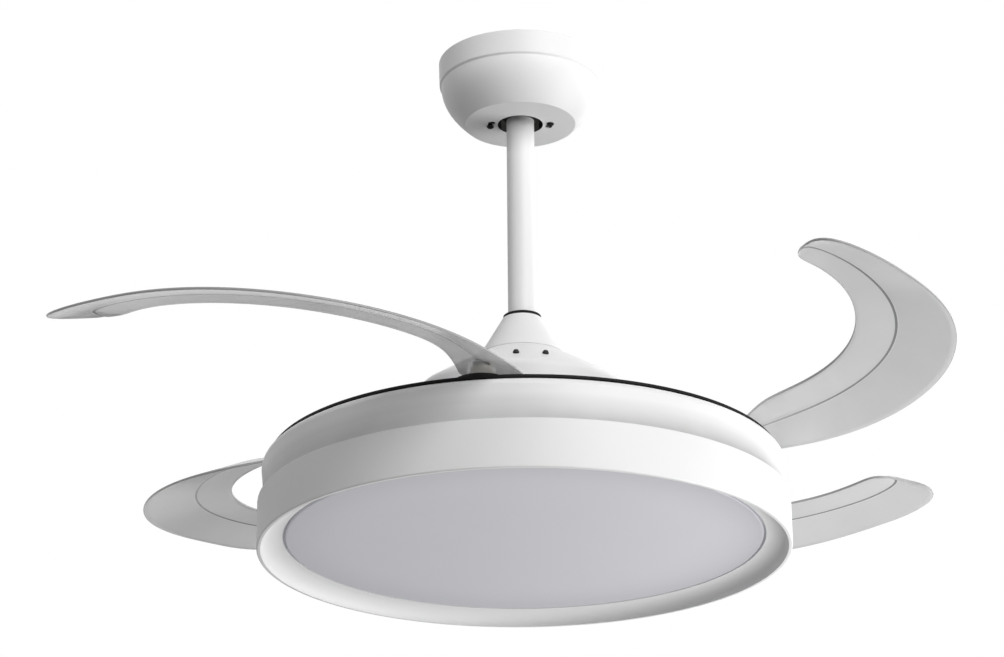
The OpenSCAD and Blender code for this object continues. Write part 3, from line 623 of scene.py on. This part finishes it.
def softLine(corners, closed=True, steps=5):
    # corners are (radius, height) or (radius, height, fillet), in mm
    line = []
    last = len(corners) - 1
    for i, corner in enumerate(corners):
        here = Vector(corner[:2])
        if len(corner) < 3 or (not closed and i in (0, last)):
            line.append(here)
            continue
        back = Vector(corners[i - 1][:2]) - here
        ahead = Vector(corners[(i + 1) % len(corners)][:2]) - here
        half = back.angle(ahead) / 2
        reach = min(corner[2] / math.tan(half), 0.42 * back.length, 0.42 * ahead.length)
        radius = reach * math.tan(half)
        centre = here + (back.normalized() + ahead.normalized()).normalized() * (
            radius / math.sin(half))
        ends = [here + v.normalized() * reach for v in (back, ahead)]
        support = [here + v.normalized() * min(reach * 1.5, v.length * 0.48)
                   for v in (back, ahead)]
        line.append(support[0])
        for s in range(steps + 1):
            ray = (ends[0] - centre).lerp(ends[1] - centre, s / steps)
            line.append(centre + ray.normalized() * radius)
        line.append(support[1])
    if closed:
        line.append(line[0].copy())
    return line


def turned(name, line, finish, segments=256):
    mesh = bpy.data.meshes.new(name + "Line")
    mesh.from_pydata([(p[0] * mm, 0, p[1] * mm) for p in line],
                     [(i, i + 1) for i in range(len(line) - 1)], [])
    piece = grow(name, mesh, turnedPart, {"Segments": segments, "Finish": finishes[finish]})
    return smooth(faceOutward(piece))


def prism(name, outline, low, high):  # outline in mm, anticlockwise seen from above
    count = len(outline)
    mesh = bpy.data.meshes.new(name)
    points = [(x * mm, y * mm, z * mm) for z in (low, high) for x, y in outline]
    sides = [(i, (i + 1) % count, (i + 1) % count + count, i + count) for i in range(count)]
    caps = [tuple(range(count - 1, -1, -1)), tuple(range(count, 2 * count))]
    mesh.from_pydata(points, [], sides + caps)
    return link(name, mesh)


def circle(radius, count=40, x=0.0, y=0.0):
    return [(x + radius * math.cos(2 * math.pi * i / count),
             y + radius * math.sin(2 * math.pi * i / count)) for i in range(count)]


def turnedOutline(outline, degrees, shift=(0, 0)):
    c, s = math.cos(math.radians(degrees)), math.sin(math.radians(degrees))
    return [((x + shift[0]) * c - (y + shift[1]) * s,
             (x + shift[0]) * s + (y + shift[1]) * c) for x, y in outline]


def join(name, parts):
    work = bmesh.new()
    for part in parts:
        work.from_mesh(part.data)
    mesh = bpy.data.meshes.new(name)
    work.to_mesh(mesh)
    work.free()
    for finish in parts[0].data.materials:
        mesh.materials.append(finish)
    for part in parts:
        bpy.data.objects.remove(part)
    return link(name, mesh)


def carve(piece, tool, operation="DIFFERENCE"):
    modifier = piece.modifiers.new("carve", "BOOLEAN")
    modifier.object = tool
    modifier.operation = operation
    modifier.solver = "EXACT"
    modifier.use_self = True
    settle(piece)
    bpy.data.objects.remove(tool)
    return smooth(piece)


def bodyOf(node):
    return next(body for body, members in bodies.items() if node in members)


def standFor(piece, node):
    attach(piece, bodyOf(node))
    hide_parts(node)
    return piece


def top(node):
    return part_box(node)[1].z / mm


def low(node):
    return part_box(node)[0].z / mm


# Ceiling canopy

canopy = {
    "rim": 79.7, "bandHeight": 23.5, "bandStep": 2.4, "bandTaper": 0.6,
    "floor": 54, "hole": 22, "wall": 1.2,
    "screwRadius": 29.5, "screwTurn": -5,
    "slotHole": 2.6, "keyHole": 3.6, "keyAt": (-0.5, 7), "keyTurn": 14,
    "neck": ((-2.4, 0), (1.8, 0), (1.8, 6), (-2.4, 6)),
}


def canopyLine(inset):
    bowl = canopy["rim"] - canopy["bandStep"] - inset
    bowlTop = -canopy["bandHeight"] - 1.2
    bottom = low("canopy") + inset
    edge = canopy["floor"] - inset
    curve = [(edge + (bowl - edge) * (1 - d * d), bowlTop + (bottom - bowlTop) * d)
             for d in (step / 24 for step in range(1, 24))]
    return [
        (canopy["rim"] - inset, 0, 0.4),
        (canopy["rim"] - canopy["bandTaper"] - inset, -canopy["bandHeight"] + 0.2, 1.8),
        (bowl, bowlTop, 1.8), *curve, (edge, bottom, 0.4)]


def buildCanopy():
    bottom = low("canopy")
    hole = canopy["hole"]
    lip = [(hole, bottom, 0.45), (hole, bottom + canopy["wall"], 0.45)]
    inner = [p[:2] for p in canopyLine(canopy["wall"])][::-1]
    shell = turned("canopyShell", softLine(canopyLine(0) + lip + inner), "satinWhitePaint")
    slots = []
    for side in (0, 180):
        turn = canopy["screwTurn"] + side
        reach = (canopy["screwRadius"], 0)
        key = turnedOutline(circle(canopy["keyHole"]), canopy["keyTurn"], canopy["keyAt"])
        for shape in (circle(canopy["slotHole"]), key, canopy["neck"]):
            slots.append(prism("slotTool", turnedOutline(shape, turn, reach),
                               bottom - 2, bottom + 4))
    carve(shell, join("slotTools", slots))
    # painted shade: the canopy's inner faces get the dark coat, as shade where a ceiling would
    # close the canopy
    shell.data.materials.append(finishes["darkCoatAndShade"])
    paintedShadeSlot = len(shell.data.materials) - 1  # the cut may have added slots of its own
    for face in shell.data.polygons:
        out = face.center.normalized()
        inside = face.normal.x * out.x + face.normal.y * out.y < -0.2 or face.normal.z > 0.6
        if inside and face.center.z < -0.002:
            face.material_index = paintedShadeSlot
    return standFor(shell, "canopy")


buildCanopy()


# Screws with a domed head and a cross recess

def crossScrew(name, head, height, shank, length):
    # the head's underside is at height 0 and the shank hangs below it
    line = softLine([
        (0, -length), (shank, -length, 0.3), (shank, 0), (head, 0, 0.25),
        (head, height * 0.45, 0.3), (head * 0.62, height * 0.9, 0.8),
        (0, height)], closed=False, steps=3)
    screw = turned(name, line, "blackScrewSteel", 40)
    arm, width, depth = head * 0.62, head * 0.2, height * 0.62
    bars = []
    for turn in (0, 90):
        bar = [(-arm, -width / 2), (arm, -width / 2), (arm, width / 2), (-arm, width / 2)]
        bars.append(prism("crossTool", turnedOutline(bar, turn), height - depth, height + 1))
    return carve(screw, join("crossTools", bars))


def ringOf(name, item, finish, **values):
    mesh = item.data
    piece = grow(name, mesh, ringOfItems, {"Finish": finishes[finish], **values})
    bpy.data.objects.remove(item)
    return smooth(piece)


canopyScrew = {"head": 3.6, "height": 2.4, "shank": 2, "length": 8}
canopyScrews = ringOf(
    "canopyScrews", crossScrew("canopyScrewItem", **canopyScrew), "blackScrewSteel",
    Count=2, Step=180.0, First=float(canopy["screwTurn"]), Radius=canopy["screwRadius"] * mm,
    Height=(low("canopy_screws") + canopyScrew["height"]) * mm, Tilt=180.0)
standFor(canopyScrews, "canopy_screws")
print("canopy and its screws built")


# Hanger ball, rod and gasket

rod = {"outer": 13.5, "wall": 1.5, "ball": 22, "pinRadius": 3, "pinHole": 3.05}
rodSeal = {"neck": 16.9, "lip": 18.5, "top": 18.1}


def crossHole(piece, height, radius):
    tool = prism("pinTool", circle(radius, 32), -60, 60)
    tool.data.transform(Matrix.Translation((0, 0, height * mm))
                        @ Matrix.Rotation(math.pi / 2, 4, "Y"))
    return carve(piece, tool)


def buildHanger():
    ballMid = (top("hanger_ball") + low("hanger_ball")) / 2
    bore, ball = rod["outer"], rod["ball"]
    flat = math.acos(bore / ball)
    arc = [(ball * math.cos(a), ballMid + ball * math.sin(a))
           for a in (flat * (i / 24 * 2 - 1) for i in range(25))]
    sphere = turned("hangerBallPart", arc + [arc[0]], "darkCoatAndShade", 128)
    crossHole(sphere, ballMid, rod["pinRadius"])
    standFor(sphere, "hanger_ball")
    inner = bore - rod["wall"]
    tube = turned("hangingRod", softLine([
        (bore, low("downrod"), 0.4), (bore, top("downrod"), 0.4),
        (inner, top("downrod"), 0.3), (inner, low("downrod"), 0.3)]), "satinWhitePaint", 160)
    crossHole(tube, ballMid, rod["pinHole"])
    standFor(tube, "downrod")


buildHanger()

gasket = turned("rodGasketRing", softLine([
    (rod["outer"], low("rod_gasket")), (rodSeal["neck"], low("rod_gasket")),
    (rodSeal["neck"], top("bell_cover")), (rodSeal["lip"], top("bell_cover"), 0.3),
    (rodSeal["top"], top("rod_gasket"), 0.5), (rod["outer"], top("rod_gasket"), 0.3),
]), "blackRubber", 128)
standFor(gasket, "rod_gasket")
print("hanger, rod and gasket built")


# Bell over the rod's end, and the dome over the motor

bell = {"topRadius": 18.9, "kneeRadius": 22, "kneeDrop": 5.5, "footRadius": 42,
        "wall": 1.5, "gap": 0.2}
dome = {"topRadius": 36, "hole": 29, "radius": 104, "wall": 2, "slope": 32, "fillet": 10,
        "screwRadius": 83, "screwFirst": -94.5, "screwGap": 19.0, "screwHead": 3.0,
        "screwHeadHeight": 4.2}


def coneDrop(radius):  # how far the dome's cone lies below its top at this radius
    return (radius - dome["topRadius"]) * math.tan(math.radians(dome["slope"]))


def buildBell():
    high, rest = top("bell_cover"), top("hub_cover") + bell["gap"]
    inner = bell["footRadius"] - bell["wall"]
    knee = high - bell["kneeDrop"]
    line = softLine([
        (bell["topRadius"] - 2, high, 0.3), (bell["topRadius"], high, 0.7),
        (bell["kneeRadius"], knee, 7),
        (bell["footRadius"], rest - coneDrop(bell["footRadius"]), 0.3),
        (inner, rest - coneDrop(inner), 0.3),
        (bell["kneeRadius"] - bell["wall"], knee - 1, 6),
        (bell["topRadius"] - 2, high - 2, 0.3)])
    return standFor(turned("bellCoverCone", line, "whiteMoulding"), "bell_cover")


buildBell()


def buildDome():
    high, base = top("hub_cover"), low("hub_cover")
    slope = math.radians(dome["slope"])
    edge = high - coneDrop(dome["radius"])
    shift = dome["wall"] / math.cos(slope)
    inner = dome["radius"] - dome["wall"]
    innerEdge = edge - shift + dome["wall"] * math.tan(slope)
    line = softLine([
        (dome["hole"], high, 0.4), (dome["topRadius"], high, 1.5),
        (dome["radius"], edge, dome["fillet"]), (dome["radius"], base, 0.4),
        (inner, base, 0.3), (inner, innerEdge, dome["fillet"] - dome["wall"]),
        (dome["topRadius"], high - shift), (dome["hole"], high - shift, 0.3)], steps=10)
    return standFor(turned("motorDome", line, "satinWhitePaint", 320), "hub_cover")


buildDome()


def domeScrewHeight():
    return (top("hub_cover") - coneDrop(dome["screwRadius"]) - 0.4) * mm


domeScrews = ringOf(
    "domeScrews", crossScrew("domeScrewItem", dome["screwHead"], dome["screwHeadHeight"], 1.6, 9),
    "blackScrewSteel", Count=8, Group=2, Step=90.0, Gap=dome["screwGap"],
    First=dome["screwFirst"], Radius=(dome["screwRadius"] - 0.3) * mm,
    Height=domeScrewHeight(), Tilt=dome["slope"])
standFor(domeScrews, "hub_cover_screws")
print("bell, dome and dome screws built")


# Turning plate and pivots

pivots = {"radius": 214, "first": -10.2, "pin": 10, "bush": 14, "flange": 26,
          "flangeHeight": 3}
plate = {"radius": 240, "hole": 24}


def buildPlate():
    high, base = top("rotor_plate"), low("rotor_plate")
    disc = turned("turningPlate", softLine([
        (plate["hole"], base, 0.3), (plate["radius"], base, 0.7),
        (plate["radius"], high, 0.7), (plate["hole"], high, 0.3)]), "blackPlate", 360)
    holes = []
    for k in range(4):
        turn = pivots["first"] + 90 * k
        holes.append(prism("bushTool", turnedOutline(
            circle(pivots["bush"], 64), turn, (pivots["radius"], 0)), base - 2, high + 2))
    carve(disc, join("bushTools", holes))
    standFor(disc, "rotor_plate")
    pin = pivots["pin"] + 0.05
    bush = turned("bushItem", softLine([
        (pin, base, 0.3), (pivots["bush"] - 0.02, base, 0.3), (pivots["bush"] - 0.02, high),
        (pivots["flange"], high, 0.3), (pivots["flange"], high + pivots["flangeHeight"], 1.0),
        (pin, high + pivots["flangeHeight"], 0.4)]), "blackNylon", 96)
    standFor(ringOf("pivotBushRings", bush, "blackNylon", Count=4, Step=90.0,
                    First=pivots["first"], Radius=pivots["radius"] * mm),
             "pivot_bushes")


buildPlate()


# Fixed shell, light ring and diffuser

lamp = {"shellRadius": 246.5, "waistRadius": 245.2, "footRadius": 249.6, "shellFillet": 8,
        "shellWall": 2, "wellDepth": 15, "flareHeight": 18, "shaft": 8.5,
        "ringRadius": 250, "bevelOuter": 246.5, "opening": 226, "recess": 12.5, "lip": 2.5,
        "trayRadius": 238, "seatRadius": 232, "seam": 0.05, "ringWall": 2, "ringHeight": 45.5}
diffuser = {"gap": 2.6, "depth": 3, "wall": 2, "flange": 6, "crown": 0.98, "crownRise": 0.01}


def buildShell():
    high, base = top("lamp_shell"), low("light_ring") + lamp["ringHeight"]
    r, t = lamp["shellRadius"], lamp["shellWall"]
    f = lamp["shellFillet"]
    floor = high - lamp["wellDepth"]
    waist = base + lamp["flareHeight"]
    inner = lamp["waistRadius"] - t
    step = lamp["footRadius"] - lamp["waistRadius"]
    flare = [(lamp["waistRadius"] + step * (1 - math.cos(a)) ** 0.85,
              waist - lamp["flareHeight"] * math.sin(a))
             for a in (math.radians(v) for v in range(8, 83, 7))]
    arc = [(r - f + f * math.cos(a), high - f + f * math.sin(a))
           for a in (math.radians(v) for v in range(6, 91, 7))]
    curl = [(r - f + (f - t) * math.cos(a), high - f + (f - t) * math.sin(a))
            for a in (math.radians(v) for v in range(90, 5, -7))]
    line = softLine([
        (lamp["shaft"], floor - t), (inner, floor - t), (inner, base + t),
        (lamp["seatRadius"], base + t), (lamp["seatRadius"], base + lamp["seam"]),
        (lamp["footRadius"], base + lamp["seam"], 0.25), *flare[::-1],
        (lamp["waistRadius"], waist), (r, high - f), *arc, *curl,
        (r - t, high - f), (inner, floor), (lamp["shaft"], floor)], steps=4)
    return standFor(turned("fixedShell", line, "shellPaint", 360), "lamp_shell")


def buildRing():
    base = low("light_ring")
    high = base + lamp["ringHeight"]
    r, t = lamp["ringRadius"], lamp["ringWall"]
    span = lamp["bevelOuter"] - lamp["opening"]
    cove = [(lamp["bevelOuter"] - span * (1 - math.cos(a)), base + lamp["recess"] * math.sin(a))
            for a in (math.radians(v) for v in range(5, 91, 5))]
    lip = base + lamp["recess"] + lamp["lip"]
    line = softLine([
        (lamp["trayRadius"], high), (r, high, 0.5), (r, base, 1.3),
        (lamp["bevelOuter"], base), *cove, (lamp["opening"], lip, 0.3), (r - t, lip),
        (r - t, high - t), (lamp["trayRadius"], high - t)], steps=6)
    return standFor(turned("lightRing", line, "whiteMoulding", 360), "light_ring")


def buildDiffuser():
    base = low("diffuser")
    r, t = lamp["opening"] - diffuser["gap"], diffuser["wall"]
    step, edge = base + diffuser["depth"], lamp["opening"] + diffuser["flange"]
    line = softLine([
        (0, base), (r * diffuser["crown"], base + diffuser["crownRise"]), (r, base, 1.2),
        (r, step), (edge, step), (edge, step + t), (r - t, step + t),
        (r - t, base + t), (0, base + t)], closed=False)
    return standFor(turned("lampDiffuser", line, "opalAcrylic", 360), "diffuser")


buildShell()
buildRing()
buildDiffuser()
print("plate, shell, light ring and diffuser built")


# Blades: a creased sheet between two quartic curves, with a boss on the pivot

blade = {
    "outerEdge": [(1, 37, 10), (108, 13, 5), (215, -25, 20), (273, -279, 30),
                  (169, -251, 40), (112, -425, 50)],
    "innerEdge": [(-6, -22, 18), (36, -36, 52), (3, -51, 27), (204, -80, 44),
                  (114, -321, 58), (71, -292, 65)],
    "tipAt": 0.84, "tipSkew": -0.54, "rootCap": 22,
    "crease": 4, "creaseAt": 0.45, "grooveWidth": 2.8, "ridgeWidth": 1.1,
    "thickness": 2.4, "rimDepth": 0.8, "rimSteps": 5,
    "bossRadius": 13, "bossLow": 3.3, "bossHigh": 20, "pinTop": 16, "screwBore": 3,
    "stations": 90, "columns": 9, "capStations": 16,
}


def bezier(points, t):
    points = [Vector(p) for p in points]
    while len(points) > 1:
        points = [a.lerp(b, t) for a, b in zip(points, points[1:])]
    return points[0]


def bladeSection(t, share, shift, skew=0.0):
    a, b = bezier(blade["innerEdge"], t), bezier(blade["outerEdge"], t)
    half = (b - a) / 2
    middle = (a + b) / 2 + half * skew * (1 - share) + shift
    return middle - half * share, middle + half * share


def bladeSections():
    caps = blade["capStations"]
    angles = [math.radians(90) * (i / (caps + 0.5)) ** 1.5 for i in range(1, caps + 1)]
    angles = [max(a, math.radians(4)) for a in angles]
    span = Vector(blade["outerEdge"][0]) - Vector(blade["innerEdge"][0])
    back = Vector((-span.y, span.x, 0)).normalized() * blade["rootCap"]
    root = [bladeSection(0, math.sin(a), back * math.cos(a)) for a in angles]
    count, tipAt = blade["stations"], blade["tipAt"]
    middle = [bladeSection(tipAt * i / count, 1, Vector()) for i in range(count + 1)]
    tip = [bladeSection(tipAt + (1 - tipAt) * math.cos(a), math.sin(a), Vector(),
                        blade["tipSkew"]) for a in reversed(angles)]
    return root + middle + tip


def sheetLoop(a, b):  # one closed cross-section: over the top, round one rim, back, round
    width = (b - a).length
    rim = min(blade["rimDepth"], width / 4)
    crease = blade["creaseAt"] * width
    groove = min(blade["grooveWidth"], width / 20)
    ridge = min(blade["ridgeWidth"], width / 20)
    count = blade["columns"]
    first = [rim + (crease - groove - rim) * i / count for i in range(count + 1)]
    last = [crease + ridge + (width - rim - crease - ridge) * i / count
            for i in range(count + 1)]
    across = first + [crease] + last
    flank = min(1, width / 60) * blade["crease"]
    half = blade["thickness"] / 2

    def point(s, up, out=0.0):
        v = s / width
        rise = flank * (v / blade["creaseAt"] if s < crease
                        else (1 - v) / (1 - blade["creaseAt"]))
        p = a.lerp(b, (s + out) / width)
        return (p.x * mm, p.y * mm, (p.z + rise - half + half * up) * mm)

    turns = [math.pi * (i / blade["rimSteps"]) for i in range(1, blade["rimSteps"])]
    return ([point(s, 1) for s in across]
            + [point(width - rim, math.cos(t), rim * math.sin(t)) for t in turns]
            + [point(s, -1) for s in reversed(across)]
            + [point(rim, -math.cos(t), -rim * math.sin(t)) for t in turns])


def bladeSheet(name):
    loops = [sheetLoop(a, b) for a, b in bladeSections()]
    around = len(loops[0])
    points = [p for loop in loops for p in loop]
    faces, strips = [], []
    plain, rim = [0] * blade["columns"], [3] * blade["rimSteps"]
    marks = plain + [1, 2] + plain + rim + plain + [2, 1] + plain + rim
    for j in range(len(loops) - 1):
        for i in range(around):
            a, b = j * around + i, j * around + (i + 1) % around
            faces.append((a, b, b + around, a + around))
            strips.append(marks[i])
    faces.append(tuple(range(around - 1, -1, -1)))
    faces.append(tuple(range((len(loops) - 1) * around, len(loops) * around)))
    strips += [3, 3]
    mesh = bpy.data.meshes.new(name)
    mesh.from_pydata(points, [], faces)
    mesh.materials.append(finishes["smokedSheet"])
    mesh.attributes.new("strip", "FLOAT", "FACE").data.foreach_set("value", strips)
    return faceOutward(link(name, mesh))


def buildBladeBlank():
    sheet = bladeSheet("bladeBlank")
    boss = turned("bossBlank", softLine([
        (0, blade["bossLow"]), (blade["bossRadius"], blade["bossLow"], 0.5),
        (blade["bossRadius"], blade["bossHigh"], 0.8), (0, blade["bossHigh"])], closed=False),
        "smokedSheet", 96)
    carve(sheet, boss, "UNION")
    for tool in (prism("pinTool", circle(pivots["pin"], 64), 0, blade["pinTop"]),
                 prism("screwTool", circle(blade["screwBore"], 32), 10, 40)):
        carve(sheet, tool)
    return smooth(sheet, 40)


def hexScrew(name):
    screw = turned(name, softLine([
        (0, 0), (8, 0, 0.3), (8, 2.4, 0.9), (6.5, 3.2, 0.8), (0, 3.2)], closed=False, steps=4),
        "darkSteel", 64)
    return carve(screw, prism("hexTool", circle(3.3, 6), 1.2, 6))


def buildBlades():
    blank = buildBladeBlank()
    screw = hexScrew("pivotScrewBlank")
    height = top("rotor_plate") * mm
    for k in range(4):
        turn = pivots["first"] + 90 * k
        at = {"Count": 1, "First": turn, "Radius": pivots["radius"] * mm}
        sheet = grow(f"smokedBlade{k + 1}", blank.data.copy(), ringOfItems, {
            **at, "Height": height, "Finish": finishes["smokedSheet"]})
        standFor(smooth(sheet, 40), f"blade_{k + 1}")
        head = grow(f"pivotScrew{k + 1}", screw.data.copy(), ringOfItems, {
            **at, "Height": height + blade["bossHigh"] * mm, "Finish": finishes["darkSteel"]})
        standFor(smooth(head), f"blade_screw_{k + 1}")
    bpy.data.objects.remove(blank)
    bpy.data.objects.remove(screw)


buildBlades()
print("blades built")


# Return springs under the plate

spring = {"turns": 1.75, "radius": 14.75, "wire": 1.25, "lift": 1.9, "leg": 30.2}


def buildSprings():
    middle = (top("return_springs") + low("return_springs")) / 2
    seed = bpy.data.meshes.new("springSeed")
    coil = grow("springItem", seed, coilSpring, {
        "Turns": spring["turns"], "Radius": spring["radius"] * mm,
        "Wire": spring["wire"] * mm, "Height": spring["lift"] * mm,
        "Leg": spring["leg"] * mm, "Base": (middle - spring["lift"] / 2) * mm,
        "Finish": finishes["springSteel"]})
    ring = ringOf("returnCoils", coil, "springSteel", Count=4, Step=90.0,
                  First=pivots["first"], Radius=pivots["radius"] * mm)
    standFor(ring, "return_springs")


buildSprings()


# The CAD's own pieces that stay: each gets its finish

kept = {
    "darkCoatAndShade": ["hanger_bracket"],
    "zincSteel": ["ball_pin", "shaft_coupler", "coupler_pin", "pin_clip",
                  "shaft_nuts", "tray_screws", "ring_screws", "ring_clips", "gear_retainer",
                  "plate_posts"],
    "darkSteel": ["ball_set_screw", "coupler_screws", "case_screws", "plate_screws",
                  "guide_screws", "motor_magnets"],
    "bearingSteel": ["motor_shaft", "upper_bearing", "lower_bearing"],
    "castAluminium": ["motor_case_top", "motor_case_bottom", "stator_hub"],
    "whiteAluminium": ["led_tray", "led_board"],
    "laminatedCore": ["stator_core"],
    "copperWire": ["stator_windings"],
    "ivoryNylon": ["terminal_block", "gear_guide", "sync_gear", "blade_gear_1",
                   "blade_gear_2", "blade_gear_3", "blade_gear_4"],
    "driverCase": ["led_driver"],
    "circuitBoard": ["motor_controller"],
    "ledPhosphor": ["led_chips"],
}
for finish, nodes in kept.items():
    for node in nodes:
        mesh = frame["nodes"][node].data
        mesh.materials.clear()
        mesh.materials.append(finishes[finish])
for name, node in frame["nodes"].items():
    if node.hide_render:
        node.data.materials.clear()
        node.data.materials.append(finishes["satinWhitePaint"])
print("kept CAD pieces finished")
